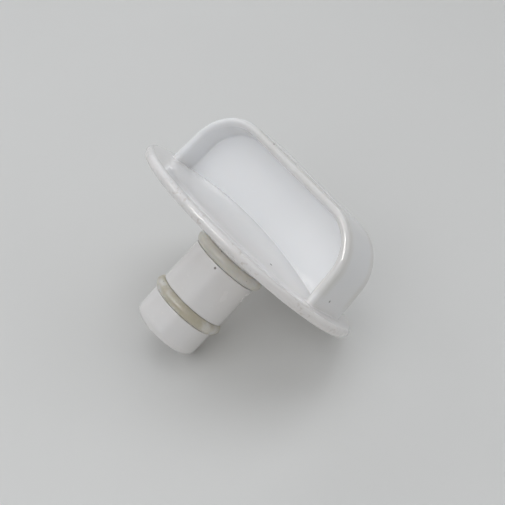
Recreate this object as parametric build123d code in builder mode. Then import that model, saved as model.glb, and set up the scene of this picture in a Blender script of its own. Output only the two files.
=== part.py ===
from build123d import *
import math
import os

# Deck fill cap: a one-piece white moulding (round flange with a low crown, a finger grip
# and a plug stem) that pushes into a deck socket and seals on two identical O-rings.
# Millimetres. +Z points up along the stem's axis, out of the deck. The origin is the centre
# of the flange's underside, the face that seats on the deck fitting. The grip's web lies
# in the XZ plane.

# ---- driving dimensions ----
# Flange and crown
flange_diameter = 76.0
flange_thickness = 3.0
rim_radius = 1.4  # rounding of the flange's edge, above and below
crown_diameter = 62.0
crown_height = 3.5  # above the flange's flat margin

# Finger grip: a strip bent into an arch, closed down its middle by a web
grip_length = 64.6  # outside, where the legs meet the flange's top
grip_height = 23.0  # above the flange's flat margin
grip_width = 19.6
grip_lean = 4.5  # degrees that each leg leans inwards
grip_corner_radius = 14.5  # outer face
strip_thickness = 2.6
strip_edge_radius = 1.2
web_thickness = 4.0
pocket_fillet = 0.6  # between the web and the strip
foot_fillet = 0.4  # inside the pockets, where the web and the legs meet the crown

# Plug stem
stem_diameter = 21.0
nose_diameter = 20.5
stem_length = 34.8
nose_end_radius = 2.5
groove_mouth_radius = 0.2
stem_root_fillet = 0.8

# Ring grooves and the rings in them
groove_diameter = 16.2
groove_width = 3.6
upper_groove_start = 4.6  # below the flange's underside
lower_groove_start = 22.0
cord_diameter = 3.5
ring_flat = 0.05  # how far the stretched cord flattens on the groove floor

# Core that keeps the stem's wall thin enough to mould without sinking
core_diameter = 10.0
core_length = 30.0
core_draft = 0.5  # degrees

# ---- values that follow ----
flange_radius = flange_diameter / 2
crown_radius = crown_diameter / 2
stem_radius = stem_diameter / 2
nose_radius = nose_diameter / 2
groove_radius = groove_diameter / 2
cord_radius = cord_diameter / 2
crown_top = flange_thickness + crown_height
crown_sphere_radius = (crown_radius**2 + crown_height**2) / (2 * crown_height)
grip_top = flange_thickness + grip_height
leg_bottom = flange_thickness / 2  # the legs run down into the flange
nose_start = lower_groove_start + groove_width / 2  # the stem narrows inside the lower groove
groove_mouths = []
for groove_start in (upper_groove_start, lower_groove_start):
    groove_mouths += [-groove_start, -groove_start - groove_width]


def arch_outline(inset):
    """The grip's outline, moved in by inset from the strip's outer face."""
    slope = math.tan(math.radians(grip_lean))
    foot = grip_length / 2 - inset / math.cos(math.radians(grip_lean))
    foot += slope * (flange_thickness - leg_bottom)
    top = grip_top - inset
    shoulder = foot - slope * (top - leg_bottom)
    with BuildSketch() as outline:
        with BuildLine():
            Polyline((-foot, leg_bottom), (-shoulder, top), (shoulder, top), (foot, leg_bottom), close=True)
        make_face()
        fillet(vertices().group_by(Axis.Y)[-1], radius=grip_corner_radius - inset)
    return outline.sketch


def edges_on_planes(part_edges, distance):
    """The edges that lie distance to either side of the XZ plane, above the legs' bottom."""
    on_planes = part_edges.filter_by(lambda edge: abs(abs(edge.center().Y) - distance) < 0.01)
    return on_planes.filter_by(lambda edge: edge.center().Z > leg_bottom + 0.01)


def on_crown(edge):
    """Whether the edge lies on the crown's dome, within its rim."""
    middle = edge @ 0.5
    sphere_centre = Vector(0, 0, crown_top - crown_sphere_radius)
    height_off = abs((middle - sphere_centre).length - crown_sphere_radius)
    return height_off < 0.001 and middle.Z > flange_thickness + 0.001


def stem_corners(corners, heights):
    """The corners that lie on the stem's side, at any of those heights."""
    on_side = corners.filter_by(lambda v: nose_radius - 0.01 < v.X < stem_radius + 0.01)
    return on_side.filter_by(lambda v: any(abs(v.Y - height) < 0.01 for height in heights))


strip_outline = arch_outline(0)
pocket_outline = arch_outline(strip_thickness)

# ---- cap_body: flange, crown, grip and stem, one moulding ----
with BuildPart() as cap_body:
    # The arched strip, as a block of the grip's full width.
    with BuildSketch(Plane.XZ):
        add(strip_outline)
    extrude(amount=grip_width / 2, both=True)

    # A finger pocket on each side of the web.
    for side in (1, -1):
        with BuildSketch(Plane.XZ.offset(side * web_thickness / 2)):
            add(pocket_outline)
        extrude(amount=side * grip_width, mode=Mode.SUBTRACT)

    # Rounded rims on the strip, and a fillet where it meets the web.
    fillet(edges_on_planes(edges(), grip_width / 2), radius=strip_edge_radius)
    fillet(edges_on_planes(edges(), web_thickness / 2), radius=pocket_fillet)

    # Flange, crown and stem, turned about the axis.
    with BuildSketch(Plane.XZ):
        with BuildLine():
            Polyline(
                (0, crown_top),
                (0, -stem_length),
                (nose_radius, -stem_length),
                (nose_radius, -nose_start),
                (stem_radius, -nose_start),
                (stem_radius, 0),
                (flange_radius, 0),
                (flange_radius, flange_thickness),
                (crown_radius, flange_thickness),
            )
            RadiusArc((crown_radius, flange_thickness), (0, crown_top), -crown_sphere_radius)
        make_face()
        for start in (upper_groove_start, lower_groove_start):
            with BuildLine():
                Polyline(
                    (groove_radius, -start),
                    (flange_radius, -start),
                    (flange_radius, -start - groove_width),
                    (groove_radius, -start - groove_width),
                    close=True,
                )
            make_face(mode=Mode.SUBTRACT)
        fillet(vertices().filter_by(lambda v: v.X > flange_radius - 0.01), radius=rim_radius)
        # Each fillet renews the outline, so its corners are picked from the outline as it then is.
        fillet(stem_corners(vertices(), [-stem_length]), radius=nose_end_radius)
        fillet(stem_corners(vertices(), [0]), radius=stem_root_fillet)
        fillet(stem_corners(vertices(), groove_mouths), radius=groove_mouth_radius)
    revolve(axis=Axis.Z)
    fillet(edges().filter_by(on_crown), radius=foot_fillet)

    # Blind core up the stem from its end.
    with BuildSketch(Plane.XY.offset(-stem_length)):
        Circle(core_diameter / 2)
    extrude(amount=core_length, taper=core_draft, mode=Mode.SUBTRACT)

cap_body.part.label = "cap_body"


def o_ring(groove_start):
    """An O-ring stretched into the groove that starts groove_start below the flange."""
    cord_centre = groove_radius + cord_radius - ring_flat
    with BuildPart() as ring:
        with BuildSketch(Plane.XZ):
            with Locations((cord_centre, -groove_start - groove_width / 2)):
                Circle(cord_radius)
            with Locations((groove_radius / 2, -groove_start - groove_width / 2)):
                Rectangle(groove_radius, cord_diameter, mode=Mode.SUBTRACT)
        revolve(axis=Axis.Z)
    return ring.part


upper_o_ring = o_ring(upper_groove_start)
upper_o_ring.label = "upper_o_ring"
lower_o_ring = o_ring(lower_groove_start)
lower_o_ring.label = "lower_o_ring"

os.makedirs("parts", exist_ok=True)
export_step(cap_body.part, "parts/cap_body.step")
export_step(upper_o_ring, "parts/upper_o_ring.step")
export_step(lower_o_ring, "parts/lower_o_ring.step")
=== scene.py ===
import math

import bpy
import numpy as np
from mathutils import Matrix, Vector


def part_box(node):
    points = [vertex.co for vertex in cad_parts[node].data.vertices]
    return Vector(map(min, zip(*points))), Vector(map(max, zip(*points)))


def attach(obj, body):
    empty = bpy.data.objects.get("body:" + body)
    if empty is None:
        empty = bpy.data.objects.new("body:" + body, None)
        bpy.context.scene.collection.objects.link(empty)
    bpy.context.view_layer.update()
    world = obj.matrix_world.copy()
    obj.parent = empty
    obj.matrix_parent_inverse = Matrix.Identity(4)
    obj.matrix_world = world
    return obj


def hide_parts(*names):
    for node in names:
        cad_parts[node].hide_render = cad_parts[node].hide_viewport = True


# Looks for the deck fill cap: a glossy white moulding with two yellowed seal rings, lying on
# its side on a pale table. The scene is in metres, in the CAD part's frame. The cap's own
# shape is worked out in millimetres, with the part's dimensions.

MM = 0.001

# ---- the cap's dimensions, mm ----
FLANGE_THICKNESS = 3.0
RIM_RADIUS = 1.4
CROWN_RADIUS = 31.0
CROWN_HEIGHT = 3.5
GRIP_LENGTH = 64.6  # outside, where the legs meet the flange
GRIP_WIDTH = 19.6
GRIP_LEAN = 4.5  # degrees that each leg leans inwards
GRIP_CORNER = 14.5
STRIP_THICKNESS = 2.6
STRIP_EDGE = 1.2
WEB_THICKNESS = 4.0
POCKET_FILLET = 0.6
FOOT_FILLET = 0.4
STEM_RADIUS = 10.5
NOSE_RADIUS = 10.25
NOSE_START = 23.8
NOSE_END = 2.5
STEM_ROOT = 0.8
GROOVE_RADIUS = 8.1
GROOVE_WIDTH = 3.6
GROOVE_STARTS = (4.6, 22.0)
GROOVE_MOUTH = 0.2
CORE_RADIUS = 5.0
CORE_LENGTH = 30.0
CORE_DRAFT = 0.5  # degrees
CORE_MOUTH = 0.3
CROWN_BLEND = 0.25  # softens the fold where the crown meets the flat margin

# ---- seal rings, mm ----
CORD_RADIUS = 1.75
CORD_SPREAD = 1.03  # the stretched cord is squeezed a little oval, and fills its groove
RING_FLASH = 0.06  # height of the thin line where the ring's mould halves met
RING_FLASH_WIDTH = 0.16

# ---- dirt, mm: the biggest grains of grit, by place on the cap ----
GRIT_SPOTS = ((20.0, -17.7, 3.9), (32.0, -2.6, 6.4), (29.0, -9.2, 13.0), (3.9, -9.7, -9.2))
GRIT_SIZE = 0.45

# ---- mesh ----
MESH_STEP = 0.3 * MM
SETTLE_STEPS = 4
PROBE = 0.01  # mm, for the slope of the distance field
CREASE_PROBE = 0.06  # mm, softens the shading across sharp folds
LEAST_STEEPNESS = 0.2  # keeps a settling step short where the field is nearly flat

# ---- camera: where it stands, as seen from the part's own upright frame ----
CAMERA_TARGET = (0.0027, 0.0015, -0.0005)
CAMERA_AZIMUTH = 29.65  # degrees, 0 looks along +Y
CAMERA_ELEVATION = 7.7
CAMERA_ROLL = 43.17
CAMERA_DISTANCE = 0.280
CAMERA_LENS = 71.3  # mm
CAMERA_SENSOR = 36.0  # mm

# ---- table: the cap lies on its rim and its nose, rolled to this side ----
TABLE_SIDE = 77.5  # degrees round the stem's axis, from +X towards +Y
TABLE_SIZE = 4.0
RIM_ABOVE = -0.001  # the flange's rim is above this height, and the nose is below the next
NOSE_BELOW = -0.030

# ---- lights ----
# Each has its bearing on the table (0 is away from the camera, 90 to its right), its height
# angle, distance in metres, width and height in metres, and power in watts. The soft ones are
# large and stand all round.
SOFT_LIGHTS = {
    "left": (-80, 37, 1.3, (1.2, 0.9), 1.7),
    "near_left": (-132, 45, 1.3, (1.2, 0.9), 2.2),
    "ceiling": (0, 86, 1.3, (0.9, 0.9), 3.6),
    "far_right": (60, 58, 1.3, (0.9, 0.9), 2.7),
    "right": (105, 37, 1.3, (0.9, 0.9), 1.6),
    "front": (-175, 45, 1.3, (1.7, 1.0), 4.2),
    "far_left": (-25, 24, 1.3, (1.6, 1.0), 4.6),
}
SOFT_COLOUR = (0.98, 1.0, 1.03)
# Seen only as highlights on the gloss: a window behind the camera, and a lamp to its left.
HIGHLIGHTS = {
    "window": (-137, 61, 1.3, (1.0, 0.2), 11.0),
    "lamp": (-66, 47, 1.3, (0.5, 0.45), 1.8),
}
HIGHLIGHT_COLOUR = (1.0, 0.99, 0.96)
SKY_COLOUR = (0.64, 0.60, 0.54)
SKY_STRENGTH = 0.1
BACKDROP_STRENGTH = 0.95  # where the camera sees past the table

# ---- colours ----
PLASTIC_COOL = (0.865, 0.872, 0.882)
# Warm tint: painted on the stem and rim as a warmer, darker shade, and in random patches.
PLASTIC_WARM = (0.872, 0.845, 0.825)
# Painted light: a brighter white for the web's faces.
PLASTIC_WEB_LIGHT = (0.935, 0.94, 0.95)
# Painted shade: a darker tint for the grip's outside.
PLASTIC_GRIP_SHADE = (0.80, 0.785, 0.76)
PLASTIC_SCUFF = (0.50, 0.44, 0.38)
GRIT = (0.10, 0.08, 0.065)
RUBBER_PALE = (0.75, 0.735, 0.69)
RUBBER_DARK = (0.57, 0.53, 0.42)
DUST = (0.72, 0.70, 0.66)
TABLE_LIGHT = (0.755, 0.755, 0.74)
TABLE_DARK = (0.725, 0.725, 0.71)


# ---- the cap's surface as a distance field ----
def rounded_rectangle(a, b, half_a, half_b, radius):
    """Distance to a rectangle centred on zero, its corners rounded."""
    over_a = np.abs(a) - (half_a - radius)
    over_b = np.abs(b) - (half_b - radius)
    outside = np.hypot(np.maximum(over_a, 0), np.maximum(over_b, 0))
    return outside + np.minimum(np.maximum(over_a, over_b), 0) - radius


def joined(a, b, radius):
    """Union of two shapes, with a fillet of that radius between them."""
    corner = np.hypot(np.maximum(radius - a, 0), np.maximum(radius - b, 0))
    return np.maximum(radius, np.minimum(a, b)) - corner


def cut(a, b, radius):
    """Shape a less shape b, with the edge between them rounded."""
    corner = np.hypot(np.maximum(radius + a, 0), np.maximum(radius - b, 0))
    return np.minimum(-radius, np.maximum(a, -b)) + corner


def stem_distance(r, z):
    end = -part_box("cap_body")[0].z / MM
    middle = (end - FLANGE_THICKNESS / 2) / 2
    nose = rounded_rectangle(r, z + middle, NOSE_RADIUS, middle + FLANGE_THICKNESS / 2, NOSE_END)
    collar = np.maximum(r - STEM_RADIUS, -NOSE_START - z)
    collar = np.maximum(collar, z - FLANGE_THICKNESS / 2)
    stem = np.minimum(nose, collar)
    for start in GROOVE_STARTS:
        across = np.abs(z + start + GROOVE_WIDTH / 2) - GROOVE_WIDTH / 2
        stem = cut(stem, np.maximum(GROOVE_RADIUS - r, across), GROOVE_MOUTH)
    core = r - CORE_RADIUS + math.tan(math.radians(CORE_DRAFT)) * (z + end)
    core = np.maximum(core, z + end - CORE_LENGTH)
    return cut(stem, core, CORE_MOUTH)


def arch_distance(x, z):
    """Distance in the XZ plane to the grip's outline, which runs on down through the flange."""
    lean = math.radians(GRIP_LEAN)
    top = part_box("cap_body")[1].z / MM
    # The outline is a wedge-cornered core, grown by the corner radius.
    corner_z = top - GRIP_CORNER
    leg_x = GRIP_LENGTH / 2 - math.tan(lean) * (corner_z - FLANGE_THICKNESS)
    corner_x = leg_x - GRIP_CORNER / math.cos(lean)
    dx = np.abs(x) - corner_x
    dz = z - corner_z
    past_leg = dx * math.cos(lean) + dz * math.sin(lean)
    beside_leg = dx * math.sin(lean) - dz * math.cos(lean) >= 0
    beyond = np.where(beside_leg, past_leg, np.where(dx <= 0, dz, np.hypot(dx, dz)))
    inside = (past_leg <= 0) & (dz <= 0)
    return np.where(inside, np.maximum(past_leg, dz), beyond) - GRIP_CORNER


def cap_distance(p):
    """Signed distance in mm from points in mm to the cap's surface."""
    x, y, z = p.T
    r = np.hypot(x, y)

    flange_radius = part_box("cap_body")[1].x / MM
    flange = rounded_rectangle(r, z - FLANGE_THICKNESS / 2, flange_radius, FLANGE_THICKNESS / 2, RIM_RADIUS)
    sphere = (CROWN_RADIUS**2 + CROWN_HEIGHT**2) / (2 * CROWN_HEIGHT)
    crown = np.hypot(r, z - (FLANGE_THICKNESS + CROWN_HEIGHT - sphere)) - sphere
    crown = np.maximum(crown, FLANGE_THICKNESS / 2 - z)
    flange = joined(flange, crown, CROWN_BLEND)

    arch = arch_distance(x, z)
    strip = rounded_rectangle(
        arch + STRIP_THICKNESS / 2, y, STRIP_THICKNESS / 2, GRIP_WIDTH / 2, STRIP_EDGE
    )
    web = np.maximum(np.abs(y) - WEB_THICKNESS / 2, arch + STRIP_THICKNESS / 2)
    grip = joined(strip, web, POCKET_FILLET)
    grip = np.maximum(grip, FLANGE_THICKNESS / 2 - z)

    body = joined(flange, stem_distance(r, z), STEM_ROOT)
    return joined(body, grip, FOOT_FILLET)


def slope(distance, p, step):
    """Gradient of a distance field at points p, by central differences."""
    columns = []
    for axis in range(3):
        offset = np.zeros(3)
        offset[axis] = step
        columns.append((distance(p + offset) - distance(p - offset)) / (2 * step))
    return np.stack(columns, axis=1)


def build_cap(node):
    """The cap as one even, closed mesh, settled on the distance field."""
    cap = bpy.data.objects.new("cap", node.data.copy())
    bpy.context.scene.collection.objects.link(cap)
    remesh = cap.modifiers.new("remesh", "REMESH")
    remesh.mode = "VOXEL"
    remesh.voxel_size = MESH_STEP
    bpy.context.view_layer.update()
    evaluated = cap.evaluated_get(bpy.context.evaluated_depsgraph_get())
    mesh = bpy.data.meshes.new_from_object(evaluated)
    cap.modifiers.clear()
    cap.data = mesh

    points = np.empty(len(mesh.vertices) * 3)
    mesh.vertices.foreach_get("co", points)
    points = points.reshape(-1, 3) / MM
    for _ in range(SETTLE_STEPS):
        away = slope(cap_distance, points, PROBE)
        steepness = np.maximum((away**2).sum(axis=1), LEAST_STEEPNESS)
        points -= away * (cap_distance(points) / steepness)[:, None]
    mesh.vertices.foreach_set("co", (points * MM).ravel())

    normals = slope(cap_distance, points, CREASE_PROBE)
    normals /= np.maximum(np.linalg.norm(normals, axis=1), 1e-6)[:, None]
    mesh.polygons.foreach_set("use_smooth", np.ones(len(mesh.polygons), bool))
    mesh.update()
    mesh.normals_split_custom_set_from_vertices(normals.tolist())
    return cap


def build_ring(name, node_name, around=240, across=48):
    """A stretched seal ring: a round cord, flat on the groove's floor, with its mould line."""
    low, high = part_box(node_name)
    centre_z = (low.z + high.z) / 2 / MM
    centre_r = high.x / MM - CORD_RADIUS
    turn = np.linspace(0, 2 * math.pi, around, endpoint=False)
    roll = np.linspace(0, 2 * math.pi, across, endpoint=False)
    turn, roll = np.meshgrid(turn, roll, indexing="ij")
    off_line = CORD_RADIUS * np.sin(roll) / RING_FLASH_WIDTH
    flash = RING_FLASH * np.exp(-off_line**2)
    cord = CORD_RADIUS - RING_FLASH + flash
    r = np.maximum(centre_r + cord * np.cos(roll), GROOVE_RADIUS)
    z = centre_z + CORD_SPREAD * cord * np.sin(roll)
    points = np.stack([r * np.cos(turn), r * np.sin(turn), z], axis=-1).reshape(-1, 3) * MM
    faces = []
    for i in range(around):
        for j in range(across):
            here = i * across
            ahead = (i + 1) % around * across
            faces.append((here + j, ahead + j, ahead + (j + 1) % across, here + (j + 1) % across))
    mesh = bpy.data.meshes.new(name)
    mesh.from_pydata(points.tolist(), [], faces)
    mesh.polygons.foreach_set("use_smooth", np.ones(len(mesh.polygons), bool))
    mesh.update()
    ring = bpy.data.objects.new(name, mesh)
    bpy.context.scene.collection.objects.link(ring)
    return ring


# ---- where things stand ----
def direction(azimuth, elevation):
    """Unit vector from the part towards a viewer at that azimuth and elevation."""
    a = math.radians(azimuth)
    e = math.radians(elevation)
    return Vector((math.sin(a) * math.cos(e), -math.cos(a) * math.cos(e), math.sin(e)))


def resting_plane(node):
    """Upward normal of the table, and a point on it, for a part lying on its rim and its nose."""
    points = np.array([v.co for v in node.data.vertices])
    rim = points[points[:, 2] > RIM_ABOVE]
    nose = points[points[:, 2] < NOSE_BELOW]
    side = math.radians(TABLE_SIDE)
    outward = np.array([math.cos(side), math.sin(side), 0.0])
    low, high = 0.0, math.pi / 2
    for _ in range(40):
        tilt = (low + high) / 2
        down = math.cos(tilt) * outward - math.sin(tilt) * np.array([0.0, 0.0, 1.0])
        if (rim @ down).max() > (nose @ down).max():
            low = tilt
        else:
            high = tilt
    contact = rim[(rim @ down).argmax()]
    return -Vector(down), Vector(contact)


def add_camera():
    data = bpy.data.cameras.new("camera")
    data.sensor_width = CAMERA_SENSOR
    data.lens = CAMERA_LENS
    data.clip_start = 0.01
    data.clip_end = 20.0
    camera = bpy.data.objects.new("camera", data)
    bpy.context.scene.collection.objects.link(camera)
    back = direction(CAMERA_AZIMUTH, CAMERA_ELEVATION)
    camera.location = Vector(CAMERA_TARGET) + back * CAMERA_DISTANCE
    upright = (-back).to_track_quat("-Z", "Y").to_matrix()
    camera.rotation_euler = (upright @ Matrix.Rotation(math.radians(CAMERA_ROLL), 3, "Z")).to_euler()
    bpy.context.scene.camera = camera
    return camera


def add_light(name, position, up, size, power, colour):
    """A rectangle of light that faces the part, its first side level with the table."""
    data = bpy.data.lights.new(name, "AREA")
    data.shape = "RECTANGLE"
    data.size, data.size_y = size
    data.energy = power
    data.color = colour
    light = bpy.data.objects.new(name, data)
    bpy.context.scene.collection.objects.link(light)
    light.location = position
    back = position.normalized()
    level = up.cross(back).normalized()
    light.rotation_euler = Matrix((level, back.cross(level), back)).transposed().to_euler()
    light.visible_camera = False
    return light


# ---- materials ----
class Paint:
    """One material's nodes, in short calls. Sizes are in mm over the piece."""

    def __init__(self, name):
        self.material = bpy.data.materials.new(name)
        self.material.use_nodes = True
        self.tree = self.material.node_tree
        self.surface = self.tree.nodes["Principled BSDF"].inputs

    def feed(self, socket, value):
        """Set an input to a value or a colour, or link it from another node's output."""
        if isinstance(value, bpy.types.NodeSocket):
            self.tree.links.new(value, socket)
        elif socket.type == "RGBA":
            socket.default_value = (*value, 1)
        else:
            socket.default_value = value

    def add(self, kind, *values, **settings):
        """A new node with those settings, its first inputs fed with those values."""
        made = self.tree.nodes.new("ShaderNode" + kind)
        for name, value in settings.items():
            setattr(made, name, value)
        for socket, value in zip(made.inputs, values):
            self.feed(socket, value)
        return made

    def place(self, shift=0.0, stretch=(1, 1, 1)):
        """Coordinates over the piece in mm, shifted, and drawn out along some axes."""
        mapping = self.add("Mapping", self.add("TexCoord").outputs["Object"])
        self.feed(mapping.inputs["Location"], (shift, shift, shift))
        self.feed(mapping.inputs["Scale"], [1 / (MM * factor) for factor in stretch])
        return mapping.outputs["Vector"]

    def noise(self, size, detail, shift, stretch=(1, 1, 1)):
        """Cloudy noise from 0 to 1, its features about size mm across."""
        made = self.add("TexNoise", self.place(shift, stretch))
        self.feed(made.inputs["Scale"], 1 / size)
        self.feed(made.inputs["Detail"], detail)
        return made.outputs["Fac"]

    def specks(self, spacing, size, shift):
        """1 on small spots about every spacing mm, and 0 elsewhere."""
        made = self.add("TexVoronoi", self.place(shift))
        self.feed(made.inputs["Scale"], 1 / spacing)
        return self.rise(made.outputs["Distance"], size / spacing, size / spacing / 2)

    def spots(self, centres, size):
        """1 within size mm of any of the centres, and 0 elsewhere."""
        marked = 0.0
        for centre in centres:
            away = self.add("VectorMath", self.place(), centre, operation="DISTANCE").outputs["Value"]
            marked = self.sum(marked, self.rise(away, size, size / 2))
        return marked

    def rise(self, value, start, end):
        """0 before start, 1 past end, smooth between."""
        if start > end:
            return self.sum(1.0, self.times(self.rise(value, end, start), -1.0))
        return self.add("MapRange", value, start, end, interpolation_type="SMOOTHSTEP").outputs["Result"]

    def times(self, a, b):
        return self.add("Math", a, b, operation="MULTIPLY").outputs["Value"]

    def sum(self, a, b):
        return self.add("Math", a, b, operation="ADD").outputs["Value"]

    def from_axis(self):
        """Distance in mm from the part's axis."""
        x, y = self.add("SeparateXYZ", self.place()).outputs[:2]
        squares = self.sum(self.times(x, x), self.times(y, y))
        return self.add("Math", squares, operation="SQRT").outputs["Value"]

    def tint(self, amount, under, over):
        """Colour under, turned into colour over by amount."""
        return self.add("MixRGB", amount, under, over).outputs["Color"]

    def relief(self, *layers):
        """Bump the surface with each (height, depth in mm) layer in turn."""
        normal = None
        for height, depth in layers:
            made = self.add("Bump")
            self.feed(made.inputs["Height"], height)
            self.feed(made.inputs["Distance"], depth * MM)
            if normal is not None:
                self.feed(made.inputs["Normal"], normal)
            normal = made.outputs["Normal"]
        self.feed(self.surface["Normal"], normal)

    def glow_within(self, weight, radius, scale):
        """Light that scatters under the surface, out to about scale mm."""
        self.feed(self.surface["Subsurface Weight"], weight)
        self.feed(self.surface["Subsurface Radius"], radius)
        self.feed(self.surface["Subsurface Scale"], scale * MM)


def white_plastic():
    """Glossy moulded plastic: uneven white with painted light and shade, a scuffed rim, hairline scratches
    and grit.
    """
    paint = Paint("white_plastic")

    # The stem and the rim, below about 6 mm height, are painted warmer and a little darker, as painted
    # shade, and the tint also drifts in random patches.
    along, across, height = paint.add("SeparateXYZ", paint.place()).outputs
    patches = paint.rise(paint.noise(26.0, 3.0, 0.0), 0.3, 0.7)
    warm_shade_and_patches = paint.sum(paint.times(paint.rise(height, 6.0, 1.0), 0.65), paint.times(patches, 0.35))
    colour = paint.tint(warm_shade_and_patches, PLASTIC_COOL, PLASTIC_WARM)
    # Painted light: the web's faces, those facing along Y near the middle, are painted a brighter white.
    from_web = paint.add("Math", across, operation="ABSOLUTE").outputs["Value"]
    facing = paint.add("SeparateXYZ", paint.add("TexCoord").outputs["Normal"]).outputs["Y"]
    sideways = paint.add("Math", facing, operation="ABSOLUTE").outputs["Value"]
    web_light = paint.times(paint.rise(from_web, 3.2, 2.4), paint.rise(sideways, 0.4, 0.9))
    colour = paint.tint(web_light, colour, PLASTIC_WEB_LIGHT)
    # Painted shade: the grip's outside, above the flange and towards the +X end, is painted darker in
    # smears; the same mask also dulls the gloss.
    painted_grip_shade = paint.times(paint.rise(from_web, 5.0, 8.0), paint.rise(height, 5.0, 8.0))
    painted_grip_shade = paint.times(painted_grip_shade, paint.rise(along, -26.0, -12.0))
    smears = paint.rise(paint.noise(6.0, 3.0, 19.0), 0.25, 0.6)
    painted_grip_shade = paint.times(painted_grip_shade, paint.sum(paint.times(smears, 0.5), 0.35))
    colour = paint.tint(painted_grip_shade, colour, PLASTIC_GRIP_SHADE)

    # The flange's edge is scuffed, with dirt caught in the scuffs, and grit lies all over.
    scuffs = paint.rise(paint.noise(1.1, 4.0, 3.0), 0.56, 0.66)
    scuffs = paint.times(scuffs, paint.rise(paint.noise(9.0, 1.0, 5.0), 0.42, 0.58))
    rim = paint.rise(paint.from_axis(), 36.3, 37.3)
    scuffs = paint.times(scuffs, rim)
    colour = paint.tint(paint.times(scuffs, 0.45), colour, PLASTIC_SCUFF)
    grit = paint.sum(paint.specks(11.0, 0.3, 4.0), paint.spots(GRIT_SPOTS, GRIT_SIZE))
    colour = paint.tint(paint.times(grit, 0.8), colour, GRIT)
    paint.feed(paint.surface["Base Color"], colour)

    # Gloss, a little duller in cloudy patches, where the grip's outside is painted darker and along
    # scratches, rubbed down on the stem by its socket, and dull in the scuffs.
    haze = paint.rise(paint.noise(5.0, 5.0, 7.0), 0.35, 0.75)
    scratches = paint.rise(paint.noise(0.15, 2.0, 11.0, (60, 1, 2)), 0.62, 0.70)
    roughness = paint.sum(paint.times(haze, 0.06), 0.07)
    roughness = paint.sum(roughness, paint.times(paint.rise(height, 0.0, -2.0), 0.15))
    roughness = paint.sum(roughness, paint.times(paint.sum(scratches, painted_grip_shade), 0.04))
    roughness = paint.sum(roughness, paint.times(scuffs, 0.25))
    paint.feed(paint.surface["Roughness"], roughness)

    # Moulded skin is never quite flat, and the rim is dented by knocks.
    ripple = paint.noise(3.2, 1.0, 13.0)
    dents = paint.times(paint.noise(1.7, 2.0, 17.0), rim)
    paint.relief((ripple, 0.008), (dents, 0.11), (scratches, -0.001), (scuffs, -0.03), (grit, 0.05))
    paint.glow_within(0.12, (1.0, 0.9, 0.8), 0.8)
    return paint.material


def seal_rubber(name, age):
    """Slightly see-through rubber, yellowed in patches by its age, with dust and grit on it."""
    paint = Paint(name)
    yellowed = paint.times(paint.rise(paint.noise(4.5, 3.0, 0.0), 0.3, 0.6), age)
    colour = paint.tint(yellowed, RUBBER_PALE, RUBBER_DARK)
    dust = paint.rise(paint.noise(0.45, 4.0, 2.0), 0.55, 0.72)
    colour = paint.tint(paint.times(dust, 0.3), colour, DUST)
    colour = paint.tint(paint.times(paint.specks(2.6, 0.3, 1.0), 0.7), colour, GRIT)
    paint.feed(paint.surface["Base Color"], colour)
    paint.feed(paint.surface["Roughness"], paint.sum(paint.times(dust, 0.25), 0.32))
    paint.relief((paint.noise(1.6, 1.0, 4.0), 0.02), (paint.noise(0.22, 3.0, 6.0), 0.012))
    paint.glow_within(0.5, (1.0, 0.8, 0.5), 1.2)
    return paint.material


def table_top():
    """Pale matt card, seen from above only: from below it lets the view through."""
    paint = Paint("table_top")
    clouds = paint.noise(90.0, 3.0, 0.0)
    paint.feed(paint.surface["Base Color"], paint.tint(clouds, TABLE_LIGHT, TABLE_DARK))
    paint.feed(paint.surface["Roughness"], paint.sum(paint.times(clouds, 0.15), 0.5))
    paint.relief((paint.noise(0.5, 3.0, 1.0), 0.01))

    card = paint.tree.nodes["Principled BSDF"].outputs["BSDF"]
    clear = paint.add("BsdfTransparent").outputs["BSDF"]
    below = paint.add("NewGeometry").outputs["Backfacing"]
    one_sided = paint.add("MixShader", below, card, clear)
    paint.feed(paint.tree.nodes["Material Output"].inputs["Surface"], one_sided.outputs["Shader"])
    return paint.material


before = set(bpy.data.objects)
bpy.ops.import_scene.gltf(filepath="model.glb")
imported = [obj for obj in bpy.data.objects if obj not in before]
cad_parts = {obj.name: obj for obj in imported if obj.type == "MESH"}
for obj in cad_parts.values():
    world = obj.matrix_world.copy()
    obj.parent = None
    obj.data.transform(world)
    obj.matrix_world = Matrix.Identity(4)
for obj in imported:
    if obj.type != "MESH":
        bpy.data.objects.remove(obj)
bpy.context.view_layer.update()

bpy.context.scene.view_settings.view_transform = "Standard"
camera = add_camera()

up, contact = resting_plane(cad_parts["cap_body"])
bpy.context.view_layer.update()
camera_right = camera.matrix_world.to_3x3() @ Vector((1, 0, 0))
right = (camera_right - up * camera_right.dot(up)).normalized()
far = up.cross(right)
table_frame = Matrix((right, far, up)).transposed()


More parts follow.
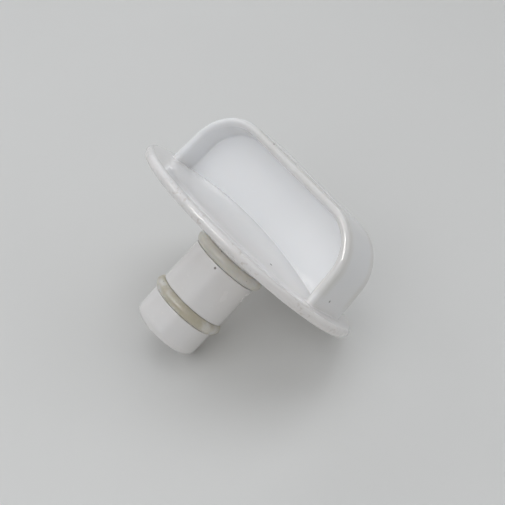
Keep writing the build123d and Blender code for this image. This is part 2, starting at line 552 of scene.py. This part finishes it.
def on_table(across, away, height):
    """A point over the table, in metres from the spot below the part's origin."""
    foot = -up * (Vector((0, 0, 0)) - contact).dot(up)
    return foot + table_frame @ Vector((across, away, height))


def around_table(bearing, height, distance):
    """A point over the table, at that bearing and height angle from the part."""
    b = math.radians(bearing)
    h = math.radians(height)
    level = distance * math.cos(h)
    return on_table(level * math.sin(b), level * math.cos(b), distance * math.sin(h))


# Floor
bpy.ops.mesh.primitive_plane_add(size=TABLE_SIZE)
table = bpy.context.object
table.name = "table"
table.matrix_world = Matrix.Translation(on_table(0, 0, 0)) @ table_frame.to_4x4()
table.data.materials.append(table_top())

# Lights
for name, (bearing, height, distance, size, power) in SOFT_LIGHTS.items():
    add_light(name, around_table(bearing, height, distance), up, size, power, SOFT_COLOUR)
for name, (bearing, height, distance, size, power) in HIGHLIGHTS.items():
    light = add_light(name, around_table(bearing, height, distance), up, size, power, HIGHLIGHT_COLOUR)
    light.visible_diffuse = False

# The sky is dim where it lights the part, and pale where the camera sees it past the table.
world = bpy.data.worlds.new("world")
world.use_nodes = True
world_nodes = world.node_tree.nodes
strength = world_nodes.new("ShaderNodeMapRange")
strength.inputs["To Min"].default_value = SKY_STRENGTH
strength.inputs["To Max"].default_value = BACKDROP_STRENGTH
seen = world_nodes.new("ShaderNodeLightPath").outputs["Is Camera Ray"]
world.node_tree.links.new(seen, strength.inputs["Value"])
world.node_tree.links.new(strength.outputs["Result"], world_nodes["Background"].inputs["Strength"])
world_nodes["Background"].inputs["Color"].default_value = (*SKY_COLOUR, 1)
bpy.context.scene.world = world

# The cap and its rings
cap = build_cap(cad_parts["cap_body"])
cap.data.materials.clear()
cap.data.materials.append(white_plastic())
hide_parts("cap_body")
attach(cap, "root")

# The upper ring has yellowed less, in the shelter of the flange.
for name, node_name, age in (("upper_ring", "upper_o_ring", 0.3), ("lower_ring", "lower_o_ring", 1.0)):
    ring = build_ring(name, node_name)
    ring.data.materials.append(seal_rubber(name + "_rubber", age))
    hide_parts(node_name)
    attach(ring, "root")
